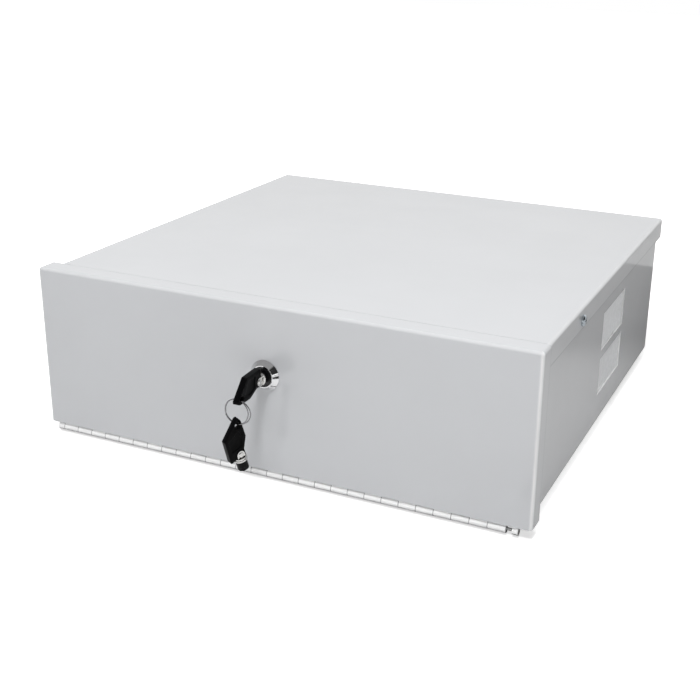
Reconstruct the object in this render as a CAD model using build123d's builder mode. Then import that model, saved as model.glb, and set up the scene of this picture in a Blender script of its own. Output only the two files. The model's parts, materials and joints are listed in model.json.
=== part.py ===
"""Sheet-steel lockbox with a drop-down door on a piano hinge, a tubular cam lock and two keys.

Frame: origin at the centre of the bolt-down pattern, in the plane of the base's underside.
+X is to the right, +Y runs from the door to the back, +Z is up. Millimetres.
"""
import os
from math import cos, radians, sin

from build123d import *

os.makedirs("parts", exist_ok=True)

# ---- Driving dimensions -------------------------------------------------------------------
sheet = 1.2                 # thickness of the sheet steel
bend = 2.2                  # outer radius of a bend

door_width = 381.0
door_height = 122.0
door_flange = 15.5          # depth of the door's top and side flanges
door_x = -4.0               # the door hangs 4 mm left of the cabinet's centre line
door_front = -180.0
door_bottom = -2.0

cover_width = 371.0
cover_back = 179.0
cover_lip = 16.1
cover_gap = 0.25            # from the door's top flange to the cover's front edge
catch_depth = 17.5          # front return lip that the cam catches

base_width = 365.0
base_front_gap = 3.4        # from the door's front face to the cabinet's front edge
base_back = 176.2
base_return = 12.0          # width of the stiffening returns

window_length = 68.0
window_height = 29.5
window_y = 27.0             # middle of the windows, behind the cabinet's middle
window_levels = (75.5, 39.3)
window_tab = (2.4, 1.2)     # small tab left on the upper window's lower edge
window_tab_shift = 6.8      # from the window's middle towards the back

screw_y = -85.7             # cover screws
screw_z = 110.5

foot_height = 10.0
foot_tip_radius = 8.5
foot_draft = 10             # degrees
foot_reach = (150.0, 140.0)
bolt_spacing = 254.0
bolt_radius = 3.25

pin_radius = 1.0
running_gap = 0.05
barrel_radius = 3.0
barrel_drop = 0.6           # from the door's lower edge to the top of the barrel
knuckle_pitch = 12.57
knuckle_gap = 0.25
full_knuckles = 28
first_knuckle = 5.4         # cropped knuckle at the left end
last_knuckle = 4.3          # cropped knuckle at the right end
bare_pin = 3.9              # stretch of pin showing before the last knuckle
hinge_left = -188.3
leaf_rise = 13.7            # height of the door leaf above the barrel
leaf_reach = 22.0           # depth of the cabinet leaf behind the pin

lock_x = door_x - 2.3
lock_z = 70.2
lock_radius = 9.5
bezel_radius = 11.0
bezel_nose = 8.0
bezel_depth = 4.2
plug_radius = 6.0
face_radius = 7.33
lock_length = 20.0
cam_length = 42.0
cam_width = 16.0
cam_thickness = 2.0

key_radius = 4.0
key_bore = 2.85
bow_thickness = 4.4
key_hole = (34.2, -4.6)     # ring hole, from the lock's axis at the door's front face
key_hole_radius = 2.0
ring_radius = 8.8           # to the middle of the wire
ring_shift = -2.2           # the ring rests on the left mouth of the key's hole
wire_radius = 0.4
coil_step = 0.7             # from one turn of the ring's wire to the next
spare_shift = -0.8          # the spare key hangs a little left of the ring's lowest point
spare_turn = 27.0           # how far the spare key has turned on the ring
spare_lean = 18.0           # lean of the spare key's barrel towards the door
spare_tilt = 4.5            # lean of the spare key's barrel to the left

# ---- Derived places -------------------------------------------------------------------------
door_top = door_bottom + door_height
door_inner = door_front + sheet
roof = door_top - sheet
side = base_width / 2
lip_outer = cover_width / 2
lip_inner = lip_outer - sheet
base_front = door_front + base_front_gap
cover_front = door_front + door_flange + cover_gap
pin_y = door_front + barrel_radius
pin_z = door_bottom - barrel_drop - barrel_radius


def save(piece, name):
    """Label a finished piece and write it under its node name."""
    piece.part.label = name
    export_step(piece.part, f"parts/{name}.step")


def block(x_span, y_span, z_span, mode=Mode.ADD):
    """A box between two limits on each axis, added to the part being built."""
    spans = (x_span, y_span, z_span)
    middle = [(low + high) / 2 for low, high in spans]
    size = [high - low for low, high in spans]
    with Locations(tuple(middle)):
        Box(*size, mode=mode)


def four_corners(reach_x, reach_y):
    """The corners of a rectangle about the origin."""
    return [(sx * reach_x, sy * reach_y) for sx in (-1, 1) for sy in (-1, 1)]


def side_plane(x):
    """A plane facing +X whose sketches read (y, z)."""
    return Plane(origin=(x, 0, 0), x_dir=(0, 1, 0), z_dir=(1, 0, 0))


# ---- Base pan: one folded sheet, written as a floor and three walls that part along its bends ----
cable_x, cable_z, cable_hole = -120.0, 32.0, 19.0
rivet_nut_hole = 3.1
foot_screw_hole = 2.2

with BuildPart() as folded_pan:
    block((-side, side), (base_front, base_back), (0, roof))
    pan_edges = folded_pan.edges().filter_by(Axis.Z).group_by(Axis.Y)[-1]
    pan_edges += folded_pan.edges().filter_by(Axis.Y).group_by(Axis.Z)[0]
    fillet(pan_edges, bend)
    block((-side + sheet, side - sheet), (base_front + sheet, base_back - sheet), (sheet, roof - sheet),
          mode=Mode.SUBTRACT)
    # mouth behind the door, between the two front returns
    mouth = side - base_return
    block((-mouth, mouth), (base_front, base_front + sheet), (sheet, roof), mode=Mode.SUBTRACT)
    # open top, inside the side and back returns
    block((-mouth, mouth), (base_front, base_back - base_return), (roof - sheet, roof), mode=Mode.SUBTRACT)
    # the walls step down where the door's top flange closes over them
    block((-side, side), (base_front, cover_front + sheet), (roof - sheet, roof), mode=Mode.SUBTRACT)
    with BuildSketch(side_plane(side - sheet)):
        for level in window_levels:
            with Locations((window_y, level)):
                Rectangle(window_length, window_height)
        with Locations((window_y + window_tab_shift, window_levels[0] - window_height / 2)):
            Rectangle(window_tab[0], 2 * window_tab[1], mode=Mode.SUBTRACT)
    extrude(amount=sheet, mode=Mode.SUBTRACT)
    with BuildSketch(side_plane(-side)):
        with Locations((screw_y, screw_z)):
            Circle(rivet_nut_hole)
    extrude(amount=base_width, mode=Mode.SUBTRACT)
    with BuildSketch(Plane.XY):
        with Locations(*four_corners(*foot_reach)):
            Circle(foot_screw_hole)
        with GridLocations(bolt_spacing, bolt_spacing, 2, 2):
            Circle(bolt_radius)
    extrude(amount=sheet, mode=Mode.SUBTRACT)
    with BuildSketch(Plane.XZ.offset(-base_back)):
        with Locations((cable_x, cable_z)):
            Circle(cable_hole)
    extrude(amount=sheet, mode=Mode.SUBTRACT)

floor_edge = side - bend
wall_end = base_back - bend

with BuildPart() as base_floor:
    add(folded_pan.part)
    block((-floor_edge, floor_edge), (base_front, wall_end), (0, sheet), mode=Mode.INTERSECT)
save(base_floor, "base_floor")

with BuildPart() as back_region:
    block((-side, side), (wall_end, base_back), (0, roof))
    block((-mouth, mouth), (base_back - base_return, wall_end), (sheet, roof))

with BuildPart() as back_wall:
    add(folded_pan.part)
    add(back_region.part, mode=Mode.INTERSECT)
save(back_wall, "back_wall")

with BuildPart() as side_walls:
    add(folded_pan.part)
    add(base_floor.part, mode=Mode.SUBTRACT)
    add(back_wall.part, mode=Mode.SUBTRACT)

for name, wall in zip(("left_wall", "right_wall"), side_walls.solids().sort_by(Axis.X)):
    with BuildPart() as side_wall:
        add(wall)
    save(side_wall, name)

# ---- Top cover ------------------------------------------------------------------------------
screw_hole = 2.25

with BuildPart() as top_cover:
    block((-lip_outer, lip_outer), (cover_front, cover_back), (door_top - cover_lip, door_top))
    cover_edges = top_cover.edges().filter_by(Axis.Y).group_by(Axis.Z)[-1]
    cover_edges += top_cover.edges().filter_by(Axis.X).group_by(Axis.Z)[-1].sort_by(Axis.Y)[-1:]
    cover_edges += top_cover.edges().filter_by(Axis.Z).group_by(Axis.Y)[-1]
    fillet(cover_edges, bend)
    block((-lip_inner, lip_inner), (cover_front, cover_back - sheet), (door_top - cover_lip, roof),
          mode=Mode.SUBTRACT)
    # front return lip, inside the side returns of the base
    catch = side - base_return - 1
    block((-catch, catch), (cover_front, cover_front + sheet), (roof - catch_depth, roof))
    with BuildSketch(side_plane(-lip_outer)):
        with Locations((screw_y, screw_z)):
            Circle(screw_hole)
    extrude(amount=cover_width, mode=Mode.SUBTRACT)
save(top_cover, "top_cover")

# ---- Cover fixings: one screw and one rivet nut on each side --------------------------------
screw_shank = 1.95
screw_reach = 10.0
screw_head = 4.1
head_height = 2.3
head_round = 1.8
cross_slot = (3.6, 0.9)     # length and width of each slot of the cross
cross_depth = 1.1
nut_flange = 4.6
nut_body = 3.05
nut_depth = 8.5

with BuildPart() as cover_screws:
    for hand in (-1, 1):
        face = Plane(origin=(hand * lip_outer, screw_y, screw_z), x_dir=(0, 1, 0), z_dir=(hand, 0, 0))
        with BuildSketch(face):
            Circle(screw_head)
        extrude(amount=head_height)
        with BuildSketch(face):
            Circle(screw_shank)
        extrude(amount=-screw_reach)
        rim = cover_screws.faces().sort_by(Axis.X)[-1 if hand > 0 else 0].edges()
        fillet(rim, head_round)
        with BuildSketch(face.offset(head_height)):
            Rectangle(*cross_slot)
            Rectangle(*reversed(cross_slot))
        extrude(amount=-cross_depth, mode=Mode.SUBTRACT)
save(cover_screws, "cover_screws")

with BuildPart() as rivet_nuts:
    for hand in (-1, 1):
        wall = Plane(origin=(hand * side, screw_y, screw_z), x_dir=(0, 1, 0), z_dir=(hand, 0, 0))
        with BuildSketch(wall):
            Circle(nut_flange)
            Circle(screw_shank + running_gap, mode=Mode.SUBTRACT)
        extrude(amount=lip_inner - side)
        with BuildSketch(wall):
            Circle(nut_body)
            Circle(screw_shank + running_gap, mode=Mode.SUBTRACT)
        extrude(amount=-nut_depth)
save(rivet_nuts, "rivet_nuts")

# ---- Vent filter and its rails --------------------------------------------------------------
filter_thickness = 5.0
filter_margin = 6.0
rail_lip = 4.0
filter_outer = side - sheet
filter_inner = filter_outer - filter_thickness
filter_y = (window_y - window_length / 2 - filter_margin, window_y + window_length / 2 + filter_margin)
filter_z = (window_levels[1] - window_height / 2 - filter_margin,
            window_levels[0] + window_height / 2 + filter_margin)

with BuildPart() as vent_filter:
    block((filter_inner, filter_outer), filter_y, filter_z)
save(vent_filter, "vent_filter")

with BuildPart() as filter_rails:
    for edge, way in ((filter_z[0], -1), (filter_z[1], 1)):
        shelf = sorted((edge, edge + way * sheet))
        lip = sorted((edge + way * sheet, edge - way * rail_lip))
        block((filter_inner - sheet, filter_outer), filter_y, shelf)
        block((filter_inner - sheet, filter_inner), filter_y, lip)
save(filter_rails, "filter_rails")

# ---- Feet -----------------------------------------------------------------------------------
foot_recess = 5.2
foot_socket = 5.7           # depth of the recess that hides the screw's head
foot_web = foot_height - foot_socket
foot_shank = 1.95
foot_head = 4.0
foot_head_height = 2.4
foot_nut_height = 2.4
foot_nut_radius = 3.9
foot_screw_end = 1.0        # screw showing above its nut

with BuildPart() as rubber_feet:
    with BuildSketch(Plane.XY.offset(-foot_height)):
        with Locations(*four_corners(*foot_reach)):
            Circle(foot_tip_radius)
    extrude(amount=foot_height, taper=-foot_draft)
    with BuildSketch(Plane.XY.offset(-foot_height)):
        with Locations(*four_corners(*foot_reach)):
            Circle(foot_recess)
    extrude(amount=foot_socket, mode=Mode.SUBTRACT)
    with BuildSketch(Plane.XY.offset(-foot_height)):
        with Locations(*four_corners(*foot_reach)):
            Circle(foot_screw_hole)
    extrude(amount=foot_height, mode=Mode.SUBTRACT)
save(rubber_feet, "rubber_feet")

with BuildPart() as foot_screws:
    seat = Plane.XY.offset(-foot_web)
    with BuildSketch(seat):
        with Locations(*four_corners(*foot_reach)):
            Circle(foot_head)
    extrude(amount=-foot_head_height)
    with BuildSketch(seat):
        with Locations(*four_corners(*foot_reach)):
            Circle(foot_shank)
    extrude(amount=foot_web + sheet + foot_nut_height + foot_screw_end)
save(foot_screws, "foot_screws")

with BuildPart() as foot_nuts:
    with BuildSketch(Plane.XY.offset(sheet)):
        with Locations(*four_corners(*foot_reach)):
            RegularPolygon(foot_nut_radius, 6)
            Circle(foot_shank + running_gap, mode=Mode.SUBTRACT)
    extrude(amount=foot_nut_height)
save(foot_nuts, "foot_nuts")

# ---- Cable grommet in the back wall ---------------------------------------------------------
grommet_bore = 14.0
grommet_flange = 22.0
flange_thickness = 1.6

with BuildPart() as cable_grommet:
    with BuildSketch(Plane.XZ.offset(-base_back)):
        with Locations((cable_x, cable_z)):
            Circle(grommet_flange)
    extrude(amount=-flange_thickness)
    with BuildSketch(Plane.XZ.offset(-base_back + sheet)):
        with Locations((cable_x, cable_z)):
            Circle(grommet_flange)
    extrude(amount=flange_thickness)
    with BuildSketch(Plane.XZ.offset(-base_back)):
        with Locations((cable_x, cable_z)):
            Circle(cable_hole - running_gap)
    extrude(amount=sheet)
    with BuildSketch(Plane.XZ.offset(-base_back - flange_thickness)):
        with Locations((cable_x, cable_z)):
            Circle(grommet_bore)
    extrude(amount=sheet + 2 * flange_thickness, mode=Mode.SUBTRACT)
save(cable_grommet, "cable_grommet")


# ---- Piano hinge ----------------------------------------------------------------------------
def knuckle_spans():
    """(start, end, on_door) of each knuckle from left to right; the two leaves take turns."""
    start = hinge_left
    spans = [(start, start + first_knuckle, False)]
    start += first_knuckle
    for index in range(full_knuckles):
        spans.append((start, start + knuckle_pitch, index % 2 == 0))
        start += knuckle_pitch
    start += bare_pin
    spans.append((start, start + last_knuckle, True))
    return [(low + knuckle_gap / 2, high - knuckle_gap / 2, on_door) for low, high, on_door in spans]


hinge_right = hinge_left + first_knuckle + full_knuckles * knuckle_pitch + bare_pin + last_knuckle
barrel_clear = barrel_radius + 0.4  # how near a leaf comes to the other leaf's knuckles
joggle_start = 4.0          # the cabinet leaf steps up under the base between these,
joggle_end = 7.0            # measured back from the pin


def knuckles(on_door, web_y, web_z):
    """Rolled knuckles with the web that joins each one to its leaf."""
    for low, high, belongs in knuckle_spans():
        if belongs == on_door:
            with BuildSketch(side_plane(low)) as round_end:
                with Locations((pin_y, pin_z)):
                    Circle(barrel_radius)
            extrude(round_end.sketch, amount=high - low)
            block((low, high), web_y, web_z)


def pin_bore():
    """The hole for the pin, through every knuckle of a leaf."""
    with BuildSketch(side_plane(hinge_left)) as bore:
        with Locations((pin_y, pin_z)):
            Circle(pin_radius + running_gap)
    extrude(bore.sketch, amount=hinge_right - hinge_left, mode=Mode.SUBTRACT)


with BuildPart() as hinge_door_leaf:
    block((hinge_left, hinge_right), (door_inner, door_inner + sheet),
          (pin_z + barrel_clear, pin_z + leaf_rise))
    knuckles(True, (door_inner, door_inner + sheet), (pin_z, pin_z + barrel_clear))
    pin_bore()
save(hinge_door_leaf, "hinge_door_leaf")

with BuildPart() as hinge_cabinet_leaf:
    leaf_low = pin_z + barrel_radius - sheet
    with BuildSketch(side_plane(hinge_left)):
        with BuildLine():
            Polyline(
                (pin_y + barrel_clear, leaf_low),
                (pin_y + joggle_start, leaf_low),
                (pin_y + joggle_end, -sheet),
                (pin_y + leaf_reach, -sheet),
                (pin_y + leaf_reach, 0),
                (pin_y + joggle_end, 0),
                (pin_y + joggle_start, leaf_low + sheet),
                (pin_y + barrel_clear, leaf_low + sheet),
                close=True,
            )
        make_face()
    extrude(amount=hinge_right - hinge_left)
    knuckles(False, (pin_y, pin_y + barrel_clear), (leaf_low, leaf_low + sheet))
    pin_bore()
save(hinge_cabinet_leaf, "hinge_cabinet_leaf")

with BuildPart() as hinge_pin:
    with BuildSketch(side_plane(hinge_left)):
        with Locations((pin_y, pin_z)):
            Circle(pin_radius)
    extrude(amount=hinge_right - hinge_left)
save(hinge_pin, "hinge_pin")

# ---- Door panel -----------------------------------------------------------------------------
door_left = door_x - door_width / 2
door_right = door_x + door_width / 2

with BuildPart() as door_panel:
    block((door_left, door_right), (door_front, door_front + door_flange), (door_bottom, door_top))
    fold_edges = door_panel.edges().filter_by(Axis.Z).group_by(Axis.Y)[0]
    fold_edges += door_panel.edges().filter_by(Axis.X).group_by(Axis.Y)[0].sort_by(Axis.Z)[-1:]
    fold_edges += door_panel.edges().filter_by(Axis.Y).group_by(Axis.Z)[-1]
    fillet(fold_edges, bend)
    block((door_left + sheet, door_right - sheet), (door_inner, door_front + door_flange),
          (door_bottom, door_top - sheet), mode=Mode.SUBTRACT)
    with BuildSketch(Plane.XZ.offset(-door_front)):
        with Locations((lock_x, lock_z)):
            Circle(lock_radius + running_gap)
    extrude(amount=-sheet, mode=Mode.SUBTRACT)
save(door_panel, "door_panel")

# ---- Door bumpers, which meet the cabinet's front returns -----------------------------------
bumper_radius = 4.5
bumper_height = 2.0
bumper_reach = side - base_return / 2
bumper_level = 100.0

with BuildPart() as door_bumpers:
    with BuildSketch(Plane.XZ.offset(-door_inner)):
        with Locations((-bumper_reach, bumper_level), (bumper_reach, bumper_level)):
            Circle(bumper_radius)
    extrude(amount=-bumper_height)
save(door_bumpers, "door_bumpers")

# ---- Lock. Lock sketches read (distance out from the door's face, distance from the axis) ----
lock_plane = Plane(origin=(lock_x, door_front, lock_z), x_dir=(0, -1, 0), z_dir=(-1, 0, 0))
lock_axis = Axis(lock_plane.origin, lock_plane.x_dir)
bore_step = 2.2             # depth at which the wide front bore narrows to the plug's bore
face_bore = face_radius + running_gap
bezel_land = 0.7            # straight rim of the bezel against the door
thread_pitch = 1.5
thread_depth = 0.45
thread_start = -5.5
thread_turns = 9


def thread_profile():
    """Outline of the screw thread, from the door towards the back."""
    points = []
    for turn in range(thread_turns):
        crest = thread_start - turn * thread_pitch
        points.append((crest, lock_radius))
        points.append((crest - thread_pitch / 2, lock_radius - thread_depth))
    return points


def turned(points):
    """A solid of revolution about the lock's axis, from an outline in the lock's plane."""
    with BuildSketch(lock_plane) as outline:
        with BuildLine():
            Polyline(*points, close=True)
        make_face()
    revolve(outline.sketch, axis=lock_axis)


with BuildPart() as lock_housing:
    turned([
        (0, bezel_radius),
        (0, lock_radius),
        *thread_profile(),
        (-lock_length, lock_radius - thread_depth),
        (-lock_length, plug_radius + running_gap),
        (bore_step, plug_radius + running_gap),
        (bore_step, face_bore),
        (bezel_depth, face_bore),
        (bezel_depth, bezel_nose),
        (bezel_land, bezel_radius),
    ])
save(lock_housing, "lock_housing")

washer_thickness = 0.8
nut_thickness = 3.0
nut_across = 13.0
door_back = -sheet

with BuildPart() as lock_washer:
    turned([
        (door_back, lock_radius + running_gap),
        (door_back, bezel_radius + 1),
        (door_back - washer_thickness, bezel_radius + 1),
        (door_back - washer_thickness, lock_radius + running_gap),
    ])
save(lock_washer, "lock_washer")

with BuildPart() as lock_nut:
    nut_seat = Plane.XZ.offset(-(door_inner + washer_thickness))
    with BuildSketch(nut_seat):
        with Locations((lock_x, lock_z)):
            RegularPolygon(nut_across, 6)
            Circle(lock_radius + running_gap, mode=Mode.SUBTRACT)
    extrude(amount=-nut_thickness)
save(lock_nut, "lock_nut")

# ---- Plug, its face, pins and cam -----------------------------------------------------------
post_radius = key_bore - running_gap
slot_radius = key_radius + running_gap
slot_floor = -0.8
face_back = bore_step + running_gap
face_front = 3.9
post_recess = 0.3           # the centre post stops this far behind the plug's face
drive_half = 4.0
drive_length = 2.75
stop_thickness = 0.7
stop_radius = 8.2
tail_bore = 2.05
tail_depth = 8.0
pin_count = 7
lock_pin_radius = 0.5
lock_pin_length = 6.0
pin_circle = (key_radius + key_bore) / 2
plug_back = -lock_length - running_gap

with BuildPart() as lock_plug:
    turned([
        (slot_floor, slot_radius),
        (face_back, slot_radius),
        (face_back, plug_radius),
        (plug_back, plug_radius),
        (plug_back, 0),
        (face_front - post_recess, 0),
        (face_front - post_recess, post_radius),
        (slot_floor, post_radius),
    ])
    back = Plane.XZ.offset(-(door_front - plug_back))
    with BuildSketch(back):
        with Locations((lock_x, lock_z)):
            Rectangle(2 * drive_half, 2 * drive_half)
    extrude(amount=-drive_length)
    with BuildSketch(back.offset(-drive_length)):
        with Locations((lock_x, lock_z)):
            Circle(tail_bore)
    extrude(amount=tail_depth, mode=Mode.SUBTRACT)
    with BuildSketch(Plane.XZ.offset(-(door_front - slot_floor))):
        with Locations((lock_x, lock_z)):
            with PolarLocations(pin_circle, pin_count):
                Circle(lock_pin_radius + running_gap)
    extrude(amount=-lock_pin_length - running_gap, mode=Mode.SUBTRACT)
save(lock_plug, "lock_plug")

with BuildPart() as lock_pins:
    with BuildSketch(Plane.XZ.offset(-(door_front - slot_floor + running_gap))):
        with Locations((lock_x, lock_z)):
            with PolarLocations(pin_circle, pin_count):
                Circle(lock_pin_radius)
    extrude(amount=-lock_pin_length + running_gap)
save(lock_pins, "lock_pins")

with BuildPart() as plug_face:
    turned([
        (face_back, slot_radius),
        (face_front, slot_radius),
        (face_front, face_radius),
        (face_back, face_radius),
    ])
save(plug_face, "plug_face")

drive_hole = 2 * (drive_half + running_gap)

with BuildPart() as stop_washer:
    with BuildSketch(Plane.XZ.offset(-(door_front - plug_back))):
        with Locations((lock_x, lock_z)):
            Circle(stop_radius)
            Rectangle(drive_hole, drive_hole, mode=Mode.SUBTRACT)
    extrude(amount=-stop_thickness)
save(stop_washer, "stop_washer")

cam_front = plug_back - stop_thickness

with BuildPart() as lock_cam:
    with BuildSketch(Plane.XZ.offset(-(door_front - cam_front))):
        with Locations((lock_x, lock_z)):
            Circle(cam_width / 2)
        with Locations((lock_x + (cam_length - cam_width / 2) / 2, lock_z)):
            Rectangle(cam_length - cam_width / 2, cam_width)
        with Locations((lock_x + cam_length - cam_width / 2, lock_z)):
            Circle(cam_width / 2)
        with Locations((lock_x, lock_z)):
            Rectangle(drive_hole, drive_hole, mode=Mode.SUBTRACT)
    extrude(amount=-cam_thickness)
save(lock_cam, "lock_cam")

cam_back = plug_back - drive_length
tail_washer = 0.8
tail_washer_radius = 6.0
tail_head = 2.2
tail_head_side = 1.3        # straight part of the screw head's side
tail_crown_radius = 2.8
tail_shank = 7.0

with BuildPart() as cam_washer:
    turned([
        (cam_back, tail_bore),
        (cam_back, tail_washer_radius),
        (cam_back - tail_washer, tail_washer_radius),
        (cam_back - tail_washer, tail_bore),
    ])
save(cam_washer, "cam_washer")

with BuildPart() as cam_screw:
    turned([
        (cam_back + tail_shank, 0),
        (cam_back + tail_shank, tail_bore - running_gap),
        (cam_back - tail_washer, tail_bore - running_gap),
        (cam_back - tail_washer, drive_half),
        (cam_back - tail_washer - tail_head_side, drive_half),
        (cam_back - tail_washer - tail_head, tail_crown_radius),
        (cam_back - tail_washer - tail_head, 0),
    ])
save(cam_screw, "cam_screw")

# ---- Keys. Key sketches read (distance out along the barrel, height across the bow) ----------
barrel_tip = -0.5
barrel_end = 8.0
collar_start = 7.3
collar_end = 9.7
collar_radius = 4.9
collar_neck = 4.4           # radius of the collar beside the bow
collar_band = 1.0           # width of the collar's raised band
collar_slope = 0.3
sleeve_gap = 0.02
ear_radius = 2.9
ear_thickness = 0.75
ear_gap = 0.05
ear_root = 8.9              # where the ears grow out of the collar
rivet_at = 12.3
rivet_radius = 1.2
rivet_head = 1.9
rivet_rise = 0.6
rivet_draft = 25            # degrees
bow_panel_depth = 0.5
bow_round = 0.7
hole_bevel = 0.7

bow_outline = [
    (38.8, -5.0),
    (38.8, -6.8),
    (36.6, -7.6),
    (23.6, -7.8),
    (14.9, -3.8),
    (9.9, -3.9),
    (9.9, 4.4),
    (9.2, 8.5),
    (27.0, 7.9),
]
bow_panel = [
    (30.5, -3.6),
    (24.4, -5.4),
    (17.5, -2.6),
    (16.6, 5.2),
    (26.0, 5.6),
]


def key_barrel(plane):
    """Tube that enters the lock round its centre post."""
    with BuildPart() as piece:
        with BuildSketch(plane):
            with BuildLine():
                Polyline((barrel_tip, key_bore), (barrel_end, key_bore), (barrel_end, key_radius),
                         (barrel_tip, key_radius), close=True)
            make_face()
        revolve(axis=Axis(plane.origin, plane.x_dir))
    return piece


def key_collar(plane):
    """Chromed ferrule round the barrel, with two ears that clasp the bow."""
    ear_inner = bow_thickness / 2 + ear_gap
    with BuildPart() as piece:
        with BuildSketch(plane):
            with BuildLine():
                Polyline(
                    (collar_start, key_radius + sleeve_gap),
                    (collar_start, collar_radius),
                    (collar_start + collar_band, collar_radius),
                    (collar_start + collar_band + collar_slope, collar_neck),
                    (collar_end, collar_neck),
                    (collar_end, 0),
                    (barrel_end, 0),
                    (barrel_end, key_radius + sleeve_gap),
                    close=True,
                )
            make_face()
        revolve(axis=Axis(plane.origin, plane.x_dir))
        for low in (ear_inner, -ear_inner - ear_thickness):
            with BuildSketch(plane.offset(low)):
                with Locations((rivet_at, 0)):
                    Circle(ear_radius)
                with Locations(((ear_root + rivet_at) / 2, 0)):
                    Rectangle(rivet_at - ear_root, 2 * ear_radius)
                with Locations((rivet_at, 0)):
                    Circle(rivet_radius + running_gap, mode=Mode.SUBTRACT)
            extrude(amount=ear_thickness)
    return piece


def key_bow(plane):
    """Plastic grip: a lopsided diamond plate with a raised rim and a hole for the ring."""
    half = bow_thickness / 2
    with BuildPart() as piece:
        with BuildSketch(plane.offset(-half)):
            with BuildLine():
                Polyline(*bow_outline, close=True)
            make_face()
        extrude(amount=bow_thickness)
        fillet(piece.edges().filter_by(lambda edge: abs(edge.length - bow_thickness) < 0.01), bow_round)
        for hand in (-1, 1):
            with BuildSketch(plane.offset(hand * half)):
                with BuildLine():
                    Polyline(*bow_panel, close=True)
                make_face()
            extrude(amount=-hand * bow_panel_depth, mode=Mode.SUBTRACT)
        with BuildSketch(plane.offset(-half)):
            with Locations(key_hole):
                Circle(key_hole_radius)
            with Locations((rivet_at, 0)):
                Circle(rivet_radius + running_gap)
        extrude(amount=bow_thickness, mode=Mode.SUBTRACT)
        mouths = piece.edges().filter_by(GeomType.CIRCLE)
        chamfer(mouths.filter_by(lambda edge: abs(edge.radius - key_hole_radius) < 0.01), hole_bevel)
    return piece


def key_rivet(plane):
    """Rivet through the ears and the bow, with a low round head at each side."""
    reach = bow_thickness / 2 + ear_gap + ear_thickness
    with BuildPart() as piece:
        with BuildSketch(plane.offset(-reach)):
            with Locations((rivet_at, 0)):
                Circle(rivet_radius)
        extrude(amount=2 * reach)
        with BuildSketch(plane.offset(reach)):
            with Locations((rivet_at, 0)):
                Circle(rivet_head)
        extrude(amount=rivet_rise, taper=rivet_draft)
        with BuildSketch(plane.offset(-reach)):
            with Locations((rivet_at, 0)):
                Circle(rivet_head)
        extrude(amount=-rivet_rise, taper=rivet_draft)
    return piece


def make_key(plane, prefix):
    """Write the four pieces of one key."""
    for maker, name in ((key_barrel, "key_barrel"), (key_collar, "key_collar"),
                        (key_bow, "key_bow"), (key_rivet, "key_rivet")):
        save(maker(plane), prefix + name)


make_key(lock_plane, "")

# ---- Split ring, hanging in the key's hole --------------------------------------------------
wire_rest = 1.45            # height of the wire's middle above the hole's lower edge
wire_slack = 0.8            # from the wire's middle down to the middle of the spare key's hole
ring_y = door_front - key_hole[0]
ring_top = lock_z + key_hole[1] - key_hole_radius + wire_rest
ring_centre = Vector(lock_x + ring_shift, ring_y, ring_top - ring_radius)
split_angle = 215           # where the outer turn of the wire ends
split_width = 0.8

with BuildPart() as split_ring:
    # two turns of wire pressed side by side
    with BuildSketch(Plane(origin=ring_centre, x_dir=(1, 0, 0), z_dir=(0, 0, 1))):
        with Locations((ring_radius, -coil_step / 2), (ring_radius, coil_step / 2)):
            Circle(wire_radius)
    revolve(axis=Axis(ring_centre, (0, 1, 0)))
    # the gap at the wire's free end, in the front turn alone
    with BuildSketch(Plane.XZ.offset(-ring_centre.Y)):
        with Locations((ring_centre.X, ring_centre.Z)):
            with PolarLocations(ring_radius, 1, start_angle=split_angle):
                Rectangle(4 * wire_radius, split_width)
    extrude(amount=2 * wire_radius, mode=Mode.SUBTRACT)
save(split_ring, "split_ring")

# ---- Spare key, hanging from the ring -------------------------------------------------------
across = Vector(sin(radians(spare_turn)), cos(radians(spare_turn)), 0)
up = Vector(0, 0, 1)
upright = up * cos(radians(spare_lean)) - across * sin(radians(spare_lean))
high = across * -cos(radians(spare_lean)) - up * sin(radians(spare_lean))
out = upright * cos(radians(spare_tilt)) + upright.cross(high) * sin(radians(spare_tilt))
ring_bottom = ring_centre - up * ring_radius
spare_hole = ring_bottom + Vector(spare_shift, 0, -wire_slack)
spare_origin = spare_hole - out * key_hole[0] - high * key_hole[1]
spare_plane = Plane(origin=spare_origin, x_dir=out, z_dir=out.cross(high))
make_key(spare_plane, "spare_")
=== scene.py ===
"""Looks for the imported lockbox: its materials, its detailed small pieces, and the studio.

Everything is in the CAD's frame, in metres: +X to the right, +Y from the door to the back, +Z up.
"""
import json
import math

import bmesh
import bpy
from mathutils import Matrix, Vector


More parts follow.
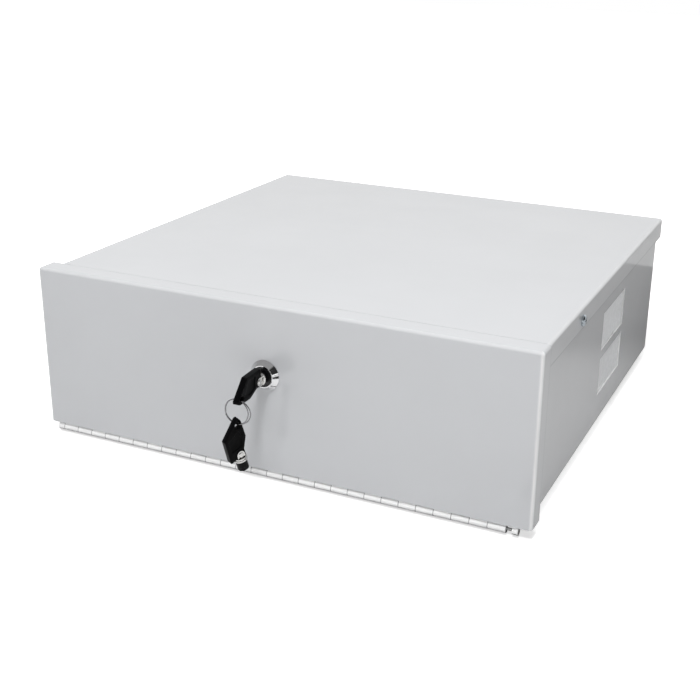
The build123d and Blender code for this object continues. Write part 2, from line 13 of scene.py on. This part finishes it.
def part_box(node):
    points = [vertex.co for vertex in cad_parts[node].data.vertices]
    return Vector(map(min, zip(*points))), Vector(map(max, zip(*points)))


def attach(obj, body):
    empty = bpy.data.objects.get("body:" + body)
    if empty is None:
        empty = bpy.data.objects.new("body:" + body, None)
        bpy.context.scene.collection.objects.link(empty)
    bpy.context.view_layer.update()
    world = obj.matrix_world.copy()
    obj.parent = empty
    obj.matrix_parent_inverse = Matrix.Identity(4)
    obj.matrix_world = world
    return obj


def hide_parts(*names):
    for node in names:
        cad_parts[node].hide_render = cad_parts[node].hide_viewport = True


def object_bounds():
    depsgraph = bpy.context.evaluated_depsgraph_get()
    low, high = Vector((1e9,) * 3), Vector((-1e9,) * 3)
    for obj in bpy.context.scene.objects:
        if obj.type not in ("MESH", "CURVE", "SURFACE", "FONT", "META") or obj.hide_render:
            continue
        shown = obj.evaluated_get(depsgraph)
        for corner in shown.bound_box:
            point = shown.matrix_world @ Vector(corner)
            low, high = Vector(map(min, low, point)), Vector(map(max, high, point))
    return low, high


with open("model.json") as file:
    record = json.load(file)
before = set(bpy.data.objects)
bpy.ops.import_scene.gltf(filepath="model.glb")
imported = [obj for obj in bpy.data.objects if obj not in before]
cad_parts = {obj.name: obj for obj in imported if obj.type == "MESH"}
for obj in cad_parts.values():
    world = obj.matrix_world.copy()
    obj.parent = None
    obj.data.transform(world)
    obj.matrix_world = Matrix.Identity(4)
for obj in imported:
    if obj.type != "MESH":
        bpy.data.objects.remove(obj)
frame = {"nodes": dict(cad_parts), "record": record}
cad_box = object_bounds()
cad = frame["nodes"]


# ---- Materials ------------------------------------------------------------------------------
class Graph:
    """A node tree, built by short calls that add and join its nodes."""

    def __init__(self, tree):
        self.tree = tree

    def feed(self, socket, value):
        """Give an input a value or join a node's output to it."""
        if isinstance(value, bpy.types.NodeSocket):
            self.tree.links.new(value, socket)
        else:
            socket.default_value = value

    def node(self, kind, settings=None, **inputs):
        """A node with its settings and named inputs; spaces in a name are written as underscores."""
        made = self.tree.nodes.new(kind)
        for name, value in (settings or {}).items():
            setattr(made, name, value)
        for name, value in inputs.items():
            self.feed(made.inputs[name.replace("_", " ")], value)
        return made

    def math(self, operation, first, second=0.0):
        """An operation on one or two values, each a number or a node's output."""
        made = self.tree.nodes.new("ShaderNodeMath")
        made.operation = operation
        self.feed(made.inputs[0], first)
        self.feed(made.inputs[1], second)
        return made.outputs[0]

    def span(self, value, low, high, to_low, to_high):
        """A value read from one range onto another, and held at its ends."""
        made = self.node("ShaderNodeMapRange", {"interpolation_type": "SMOOTHSTEP"}, Value=value,
                         From_Min=low, From_Max=high, To_Min=to_low, To_Max=to_high)
        return made.outputs["Result"]


class Finish(Graph):
    """A procedural material round one Principled shader."""

    def __init__(self, name, color, roughness, metallic=0.0):
        self.material = bpy.data.materials.new(name)
        self.material.use_nodes = True
        self.material.diffuse_color = (*color, 1.0)
        super().__init__(self.material.node_tree)
        self.tree.nodes.clear()
        self.shader = self.tree.nodes.new("ShaderNodeBsdfPrincipled")
        output = self.tree.nodes.new("ShaderNodeOutputMaterial")
        self.tree.links.new(self.shader.outputs["BSDF"], output.inputs["Surface"])
        self.place = self.node("ShaderNodeTexCoord").outputs["Object"]
        self.set("Base Color", (*color, 1.0))
        self.set("Roughness", roughness)
        self.set("Metallic", metallic)

    def set(self, socket, value):
        """Give one of the shader's inputs a value or join a node's output to it."""
        self.feed(self.shader.inputs[socket], value)

    def stretch(self, scale):
        """The piece's coordinates, scaled apart on the three axes."""
        return self.node("ShaderNodeMapping", Vector=self.place, Scale=scale).outputs["Vector"]

    def noise(self, scale, detail=3.0, rough=0.5, place=None):
        made = self.node("ShaderNodeTexNoise", Vector=place or self.place, Scale=scale, Detail=detail,
                         Roughness=rough)
        return made.outputs["Fac"]

    def mix(self, share, first, second):
        """One colour over another, in the share given."""
        made = self.tree.nodes.new("ShaderNodeMix")
        made.data_type = "RGBA"
        self.feed(made.inputs["Factor"], share)
        for name, color in (("A", first), ("B", second)):
            made_by_node = isinstance(color, bpy.types.NodeSocket)
            self.feed(made.inputs[name], color if made_by_node else (*color, 1.0))
        return made.outputs["Result"]

    def edges(self, radius):
        """1 along the piece's sharp edges and 0 on its flats, for wear, and on the paint also for a
        painted edge highlight.
        """
        soft = self.node("ShaderNodeBevel", {"samples": 4}, Radius=radius).outputs["Normal"]
        flat = self.node("ShaderNodeNewGeometry").outputs["Normal"]
        facing = self.node("ShaderNodeVectorMath", {"operation": "DOT_PRODUCT"})
        self.feed(facing.inputs[0], soft)
        self.feed(facing.inputs[1], flat)
        return self.span(facing.outputs["Value"], 0.80, 0.995, 1.0, 0.0)

    def relief(self, height, depth, edge_radius=0.0):
        """Bumps of the given depth in metres, over edges rounded in shading by edge_radius."""
        bump = self.node("ShaderNodeBump", Height=height, Distance=depth, Strength=1.0)
        if edge_radius:
            rounded = self.node("ShaderNodeBevel", {"samples": 4}, Radius=edge_radius)
            self.feed(bump.inputs["Normal"], rounded.outputs["Normal"])
        self.set("Normal", bump.outputs["Normal"])


def powder_coat(name, color, roughness=0.34, bright=None, painted_shade_lines=None):
    """Sprayed and baked paint with faint orange peel, with painted highlight and painted shade where the
    masks say so.
    """
    paint = Finish(name, color, roughness)
    peel = paint.noise(420, 2.0)
    grain = paint.noise(2600, 2.0)
    cloud = paint.noise(5.5, 4.0, 0.6)
    shade = paint.span(cloud, 0.3, 0.7, 0.0, 1.0)
    lighter = tuple(min(1.0, part * 1.018) for part in color)
    darker = tuple(part * 0.982 for part in color)
    body = paint.mix(shade, darker, lighter)
    # Lighter paint along sharp edges: partly thin-coat wear, partly a painted edge highlight.
    edge_wear_and_highlight = paint.math("MULTIPLY", paint.edges(0.0006), 0.25)
    body = paint.mix(edge_wear_and_highlight, body, (0.78, 0.79, 0.80))
    # Painted highlight: where the bright mask is 1, the paint turns near-white.
    if bright:
        body = paint.mix(bright(paint), body, (0.98, 0.98, 0.98))
    # Painted shade: the paint turns dark grey in thin lines where the mask given here is 1.
    if painted_shade_lines:
        body = paint.mix(painted_shade_lines(paint), body, (0.30, 0.31, 0.33))
    paint.set("Base Color", body)
    smear = paint.noise(14, 5.0, 0.65)
    paint.set("Roughness", paint.span(smear, 0.25, 0.75, roughness - 0.05, roughness + 0.06))
    paint.set("Specular IOR Level", 0.2)
    paint.set("Coat Weight", 0.9)
    paint.set("Coat Roughness", 0.07)
    height = paint.math("ADD", peel, paint.math("MULTIPLY", grain, 0.12))
    paint.relief(height, 0.000035, 0.0004)
    return paint.material


def near_edges(places, reach=0.0027):
    """A mask round edges, each given as two (axis, coordinate) pairs and the share the mask rises to."""

    def mask(paint):
        axes = paint.node("ShaderNodeSeparateXYZ", Vector=paint.place).outputs
        total = None
        for first, second, share in places:
            off = [paint.math("ABSOLUTE", paint.math("SUBTRACT", axes[axis], at))
                   for axis, at in (first, second)]
            here = paint.span(paint.math("MAXIMUM", *off), reach * 0.3, reach, share, 0.0)
            total = here if total is None else paint.math("MAXIMUM", total, here)
        return total

    return mask


def cut_edge_highlights(paint):
    """A mask that is 1 on the sheet's cut edges round the windows, which face along the wall, for a
    painted highlight.
    """
    normal = paint.node("ShaderNodeNewGeometry").outputs["True Normal"]
    facing = paint.node("ShaderNodeSeparateXYZ", Vector=normal)
    return paint.span(paint.math("ABSOLUTE", facing.outputs["X"]), 0.3, 0.7, 1.0, 0.0)


def knuckle_gap_shade(paint):
    """A mask that rises in thin lines where the hinge's knuckles meet, for painted shade in the gaps."""
    along = paint.node("ShaderNodeSeparateXYZ", Vector=paint.place).outputs["X"]
    turns = paint.math("DIVIDE", paint.math("SUBTRACT", along, first_seam), knuckle_pitch)
    share = paint.math("FRACT", paint.math("ADD", turns, 0.5))
    away = paint.math("ABSOLUTE", paint.math("SUBTRACT", share, 0.5))
    return paint.span(away, 0.012, 0.034, 0.6, 0.0)


def plated(name, color, roughness, scratch=0.00002, brushed=(900, 900, 900)):
    """Zinc, nickel or chrome plate: fine scratches, uneven gloss and brighter rubbed edges."""
    metal = Finish(name, color, roughness, 1.0)
    lines = metal.noise(1.0, 2.0, 0.6, metal.stretch(brushed))
    dull = metal.noise(160, 4.0, 0.6)
    rubbed = metal.edges(0.0004)
    tarnish = metal.span(dull, 0.35, 0.75, 0.0, 0.35)
    dark = tuple(part * 0.8 for part in color)
    bright = tuple(min(1.0, part * 1.15) for part in color)
    metal.set("Base Color", metal.mix(rubbed, metal.mix(tarnish, color, dark), bright))
    metal.set("Roughness", metal.span(dull, 0.3, 0.7, roughness * 0.8, roughness * 1.3))
    metal.relief(lines, scratch, 0.00015)
    return metal.material


def moulded(name, color, roughness, grain=0.00004, scale=1800, shine=0.5):
    """Moulded plastic or rubber with a fine grain and edges rubbed a little lighter."""
    skin = Finish(name, color, roughness)
    fine = skin.noise(scale, 3.0, 0.6)
    patch = skin.noise(90, 3.0)
    rubbed = skin.math("MULTIPLY", skin.edges(0.0005), 0.35)
    lighter = tuple(part * 1.6 + 0.006 for part in color)
    dull = tuple(part * 0.8 for part in color)
    skin.set("Base Color", skin.mix(rubbed, skin.mix(patch, dull, color), lighter))
    skin.set("Roughness", skin.span(patch, 0.3, 0.7, roughness * 0.85, min(1.0, roughness * 1.2)))
    skin.set("Specular IOR Level", shine)
    skin.relief(fine, grain, 0.0003)
    return skin.material


def felt(name, color):
    """Filter felt: matted fibres with a soft nap."""
    pad = Finish(name, color, 0.95)
    fibres = pad.noise(1.0, 5.0, 0.7, pad.stretch((2600, 700, 700)))
    lumps = pad.noise(260, 4.0, 0.6)
    shade = pad.math("ADD", pad.math("MULTIPLY", fibres, 0.5), pad.math("MULTIPLY", lumps, 0.5))
    dark = tuple(part * 0.86 for part in color)
    pad.set("Base Color", pad.mix(pad.span(shade, 0.35, 0.65, 0.0, 1.0), dark, color))
    pad.set("Sheen Weight", 0.3)
    pad.relief(shade, 0.0003)
    return pad.material


# The hinge's first seam lies one cropped knuckle from its left end.
cropped_knuckle = 0.0054
knuckle_pitch = 0.01257
first_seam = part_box("hinge_cabinet_leaf")[0].x + cropped_knuckle

paint_color = (0.58, 0.59, 0.608)
finishes = {
    "body_paint": powder_coat("body_paint", paint_color),
    # The hinge paint gets painted shade in thin dark lines at the knuckles' gaps.
    "hinge_paint": powder_coat("hinge_paint", (0.97, 0.97, 0.97), 0.3, painted_shade_lines=knuckle_gap_shade),
    "bright_zinc": plated("bright_zinc", (0.50, 0.55, 0.59), 0.14),
    "pin_steel": plated("pin_steel", (0.55, 0.55, 0.55), 0.35, brushed=(200, 3000, 3000)),
    "filter_felt": felt("filter_felt", (0.95, 0.965, 0.98)),
    "black_rubber": moulded("black_rubber", (0.025, 0.025, 0.026), 0.7),
    "lock_chrome": plated("lock_chrome", (0.83, 0.83, 0.84), 0.06, scratch=0.000004),
    "plug_brass": plated("plug_brass", (0.72, 0.56, 0.30), 0.3),
    "plug_black": moulded("plug_black", (0.008, 0.008, 0.009), 0.22, 0.000004, 3000, shine=0.4),
    "key_nickel": plated("key_nickel", (0.68, 0.675, 0.66), 0.06, scratch=0.000008),
    "barrel_black": moulded("barrel_black", (0.003, 0.003, 0.0035), 0.3, 0.000004, 3000,
                            shine=0.1),
    "bow_plastic": moulded("bow_plastic", (0.0015, 0.0015, 0.0018), 0.36, 0.00001, 2600,
                           shine=0.06),
    "ring_wire": plated("ring_wire", (0.34, 0.34, 0.35), 0.2, scratch=0.000006),
}

# Painted highlight: the paint is near-white along the door's bends, the cover's side bends and the
# windows' cut edges.
door_low, door_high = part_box("door_panel")
cover_low, cover_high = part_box("top_cover")
X, Y, Z = 0, 1, 2
door_bend_highlights = [((X, door_high.x), (Y, door_low.y), 0.85), ((X, door_low.x), (Y, door_low.y), 0.3),
              ((Z, door_high.z), (Y, door_low.y), 0.22)]
cover_bend_highlights = [((X, cover_high.x), (Z, cover_high.z), 0.3), ((X, cover_low.x), (Z, cover_high.z), 0.3)]
# Painted shade: thin dark lines along the free edges of the cover's lips and the door's flanges, where
# shadow lines fall.
lip_end = min(vertex.co.z for vertex in cad["top_cover"].data.vertices
              if vertex.co.x > cover_high.x - 0.0001)
cover_edge_shade = [((X, cover_high.x), (Z, lip_end), 0.6), ((X, cover_low.x), (Z, lip_end), 0.6)]
door_edge_shade = [((X, door_high.x), (Y, door_high.y), 0.4), ((X, door_low.x), (Y, door_high.y), 0.4)]
shade_line_reach = 0.0013
special = {
    "door_panel": powder_coat("door_paint", paint_color, bright=near_edges(door_bend_highlights),
                              painted_shade_lines=near_edges(door_edge_shade, shade_line_reach)),
    "top_cover": powder_coat("cover_paint", paint_color, bright=near_edges(cover_bend_highlights),
                             painted_shade_lines=near_edges(cover_edge_shade, shade_line_reach)),
    "right_wall": powder_coat("wall_paint", paint_color, bright=cut_edge_highlights),
}

slot_of = {part["node"]: part["material_slot"] for part in frame["record"]["subparts"]}
for name, node in cad.items():
    node.data.materials.clear()
    node.data.materials.append(special.get(name) or finishes[slot_of[name]])

# ---- Detailed pieces --------------------------------------------------------------------------
bodies = frame["record"]["behaviour"]["bodies"]
body_of = {node: body for body, nodes in bodies.items() for node in nodes}


def stand_in(piece, node):
    """Put a detailed piece in a CAD node's place, on its body and in its slot."""
    piece.data.materials.clear()
    piece.data.materials.append(finishes[slot_of[node]])
    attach(piece, body_of[node])
    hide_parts(node)


def new_piece(name, mesh):
    piece = bpy.data.objects.new(name, mesh)
    bpy.context.scene.collection.objects.link(piece)
    return piece


def soften(node, radius, steps=3, sharpest=25.0):
    """A copy of a CAD node whose sharp edges are really rounded."""
    mesh = bpy.data.meshes.new(node + "_soft")
    work = bmesh.new()
    work.from_mesh(cad[node].data)
    bmesh.ops.remove_doubles(work, verts=work.verts, dist=1e-6)
    bmesh.ops.dissolve_limit(work, angle_limit=math.radians(0.5), verts=work.verts,
                             edges=work.edges)
    limit = math.radians(sharpest)
    sharp = [edge for edge in work.edges
             if len(edge.link_faces) == 2 and edge.calc_face_angle(0.0) > limit]
    bmesh.ops.bevel(work, geom=sharp, offset=radius, segments=steps, profile=0.5, affect="EDGES",
                    clamp_overlap=True)
    bmesh.ops.triangulate(work, faces=[face for face in work.faces if len(face.verts) > 4])
    work.to_mesh(mesh)
    work.free()
    piece = new_piece(node + "_soft", mesh)
    mesh.shade_smooth()
    mesh.set_sharp_from_angle(angle=math.radians(40.0))
    stand_in(piece, node)


for node, radius in (("key_bow", 0.0004), ("spare_key_bow", 0.0004), ("rubber_feet", 0.0008),
                     ("cable_grommet", 0.0005), ("lock_nut", 0.0003), ("door_bumpers", 0.0005)):
    soften(node, radius)


def tube(name, path, radius, sides=12):
    """A round wire swept along a list of points, closed at both ends."""
    work = bmesh.new()
    rings = []
    for index, point in enumerate(path):
        ahead = path[min(index + 1, len(path) - 1)] - path[max(index - 1, 0)]
        first = Vector((0.0, 1.0, 0.0)).cross(ahead).normalized()
        second = ahead.cross(first).normalized()
        turns = [2 * math.pi * side / sides for side in range(sides)]
        rings.append([work.verts.new(point + radius * (first * math.cos(turn) + second * math.sin(turn)))
                      for turn in turns])
    for near, far in zip(rings, rings[1:]):
        for side in range(sides):
            work.faces.new((near[side], near[side - 1], far[side - 1], far[side]))
    work.faces.new(rings[0])
    work.faces.new(reversed(rings[-1]))
    bmesh.ops.recalc_face_normals(work, faces=work.faces)
    mesh = bpy.data.meshes.new(name)
    work.to_mesh(mesh)
    work.free()
    mesh.shade_smooth()
    return new_piece(name, mesh)


# The split ring is one wire wound twice. Its turns part on the right, where the spare key spreads them.
ring_low, ring_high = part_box("split_ring")
ring_middle = (ring_low + ring_high) / 2
ring_wire_radius = 0.00042
ring_radius = (ring_high.x - ring_low.x) / 2 - ring_wire_radius
ring_step = 0.0007
ring_spread = 0.0011
ring_start = math.radians(200.0)
ring_turns = 1.97
ring_parting = 0.44       # share of the wire at which it starts to cross to the second turn
ring_crossing = 0.12      # share of the wire over which it crosses
ring_spread_turn = math.radians(12.0)
ring_steps = 240
ring_points = []
for index in range(ring_steps + 1):
    share = index / ring_steps
    angle = ring_start + 2 * math.pi * ring_turns * share
    late = max(0.0, min(1.0, (share - ring_parting) / ring_crossing))
    late = late * late * (3 - 2 * late)
    spread = late * ring_spread * max(0.0, math.cos(angle + ring_spread_turn)) ** 2
    ring_points.append(ring_middle + Vector((
        (ring_radius + spread) * math.cos(angle),
        ring_step * (late - 0.5) + spread * 0.6,
        (ring_radius + spread) * math.sin(angle))))
stand_in(tube("split_ring_coil", ring_points, ring_wire_radius), "split_ring")

# ---- Studio ---------------------------------------------------------------------------------
scene = bpy.context.scene
scene.view_settings.view_transform = "Standard"
scene.view_settings.look = "None"

floor_size = 8.0
floor_glow_reach = (0.45, 1.1)      # distances from the object over which the floor's glow grows
floor_glow_share = (0.68, 1.0)
floor_level = cad_box[0].z
card_rise = 0.0005
bpy.ops.mesh.primitive_plane_add(size=floor_size, location=(0, 0, floor_level))
floor = bpy.context.object
floor.name = "studio_floor"
floor_finish = Finish("studio_floor", (0.86, 0.86, 0.86), 0.9)
floor_tone = floor_finish.noise(3.0, 3.0)
floor_seen = floor_finish.node("ShaderNodeLightPath").outputs["Is Camera Ray"]
floor_finish.set("Base Color", floor_finish.mix(floor_tone, (0.87, 0.87, 0.87), (0.89, 0.89, 0.89)))
floor_finish.set("Emission Color", (1.0, 1.0, 1.0, 1.0))
floor_away = floor_finish.node("ShaderNodeVectorMath", {"operation": "LENGTH"},
                               Vector=floor_finish.place)
floor_glow = floor_finish.span(floor_away.outputs["Value"], *floor_glow_reach, *floor_glow_share)
floor_finish.set("Emission Strength", floor_finish.math("MULTIPLY", floor_seen, floor_glow))
floor.data.materials.append(floor_finish.material)


def dark_card(name, x_span, y_span, dark, light=None, fade=(-2.0, -1.0), across=(2.0, 3.0)):
    """A card on the floor that the camera doesn't see, but that the glossy paint reflects.

    It goes from light to dark over fade, front to back, and from dark to light over across, left to
    right, both given as places on the card from -0.5 to 0.5.
    """
    light = dark if light is None else light
    place = (sum(x_span) / 2, sum(y_span) / 2, floor_level + card_rise)
    bpy.ops.mesh.primitive_plane_add(size=1.0, location=place)
    made = bpy.context.object
    made.name = name
    made.scale = (x_span[1] - x_span[0], y_span[1] - y_span[0], 1.0)
    finish = Finish(name, (dark, dark, dark), 0.9)
    at = finish.node("ShaderNodeSeparateXYZ", Vector=finish.place).outputs
    shade = finish.span(at["Y"], *fade, 1.0, 0.0)
    shade = finish.math("MAXIMUM", shade, finish.span(at["X"], *across, 0.0, 1.0))
    finish.set("Base Color", finish.mix(shade, (dark, dark, dark), (light, light, light)))
    made.data.materials.append(finish.material)
    made.visible_camera = False
    made.visible_shadow = False
    return made


# Painted shadow: this card darkens the floor behind and right of the object, where its shadow falls, and
# the right side reflects it.
dark_card("painted_shadow_card", (-0.30, 0.34), (0.06, 0.466), 0.19, 0.66, (-0.4, 0.0), (0.24, 0.5))
dark_card("studio_side_card", (0.187, 0.5), (-0.25, 0.06), 0.68)
# Painted shade: a near-black card under the hinge's barrel darkens its underside.
dark_card("painted_shade_under_card", (-0.19, 0.186), (-0.1818, -0.165), 0.02)
# A dark strip in front of the door gives the lock's chrome a dark line.
strip = dark_card("studio_strip", (0.16, 0.36), (-0.36, -0.235), 0.01)
strip.visible_diffuse = False

# The sky is white to the camera and bright behind the object. In front it is dim, but less so in
# reflections.
sky_front = 0.05
sky_back = 0.95
sky_gloss = (0.32, 0.03)      # what glossy surfaces see in front, towards the left and the right
world = bpy.data.worlds.new("studio")
world.use_nodes = True
scene.world = world
sky = Graph(world.node_tree)
sky_node = world.node_tree.nodes["Background"]
direction = sky.node("ShaderNodeSeparateXYZ", Vector=sky.node("ShaderNodeTexCoord").outputs["Generated"])
rays = sky.node("ShaderNodeLightPath").outputs
in_gloss = sky.span(direction.outputs["X"], 0.45, 0.6, *sky_gloss)
gloss_only = sky.math("MULTIPLY", rays["Is Glossy Ray"], sky.math("SUBTRACT", in_gloss, sky_front))
front = sky.math("ADD", sky_front, gloss_only)
to_back = sky.span(direction.outputs["Y"], 0.2, 0.8, front, sky_back)
glow = sky.math("MAXIMUM", to_back, rays["Is Camera Ray"])
sky.feed(sky_node.inputs["Color"], (1.0, 1.0, 1.0, 1.0))
sky.feed(sky_node.inputs["Strength"], glow)


def softbox(name, place, target, width, height, watts):
    """A rectangular soft light aimed at a point."""
    light = bpy.data.lights.new(name, "AREA")
    light.shape = "RECTANGLE"
    light.size = width
    light.size_y = height
    light.energy = watts
    lamp = bpy.data.objects.new(name, light)
    scene.collection.objects.link(lamp)
    lamp.location = place
    lamp.rotation_mode = "QUATERNION"
    lamp.rotation_quaternion = (Vector(place) - Vector(target)).to_track_quat("Z", "Y")
    lamp.visible_camera = False
    return lamp


# Each softbox's name, place, target, width, height and watts, and whether reflections show it.
softboxes = (
    ("overhead", (0.12, -0.35, 1.5), (0.0, -0.05, 0.0), 1.3, 1.1, 13.6, False),
    ("key", (0.22, -0.93, 1.37), (0.0, -0.15, 0.05), 0.24, 0.24, 9.5, False),
    ("front", (-0.2, -2.2, 0.9), (0.0, 0.0, 0.05), 1.4, 1.2, 2.6, False),
    ("front_low", (0.1, -1.8, 0.3), (0.0, 0.0, 0.05), 1.6, 0.5, 2.0, True),
    ("left", (-1.6, -1.2, 0.9), (0.0, 0.0, 0.05), 1.0, 1.0, 3.2, False),
    ("right_front", (1.4, -1.6, 0.7), (0.0, 0.0, 0.05), 0.8, 1.0, 0.5, True),
)
for *shape, in_reflections in softboxes:
    softbox(*shape).visible_glossy = in_reflections
# A long strip low on the right shows only in reflections, above all in the lock's chrome.
strip_light = softbox("strip_light", (2.0, -1.0, 0.16), (0.0, -1.0, 0.16), 3.0, 0.16, 2.6)
strip_light.visible_diffuse = False

# ---- Camera, at the photograph's viewing angle ------------------------------------------------
camera_place = Vector((0.35417, -0.80103, 0.36637))
camera_azimuth = math.radians(24.21)
camera_elevation = math.radians(20.479)
camera_roll = math.radians(0.913)
camera_lens = 58.564
camera_shift = (-0.0357, -0.02)

back = Vector((math.sin(camera_azimuth) * math.cos(camera_elevation),
               -math.cos(camera_azimuth) * math.cos(camera_elevation),
               math.sin(camera_elevation)))
level_right = Vector((math.cos(camera_azimuth), math.sin(camera_azimuth), 0.0))
level_up = back.cross(level_right)
right = level_right * math.cos(camera_roll) + level_up * math.sin(camera_roll)
camera_data = bpy.data.cameras.new("camera")
camera_data.lens = camera_lens
camera_data.sensor_width = 36.0
camera_data.shift_x, camera_data.shift_y = camera_shift
camera_data.clip_start = 0.01
camera = bpy.data.objects.new("camera", camera_data)
scene.collection.objects.link(camera)
turned = Matrix((right, back.cross(right), back)).transposed().to_4x4()
camera.matrix_world = Matrix.Translation(camera_place) @ turned
scene.camera = camera
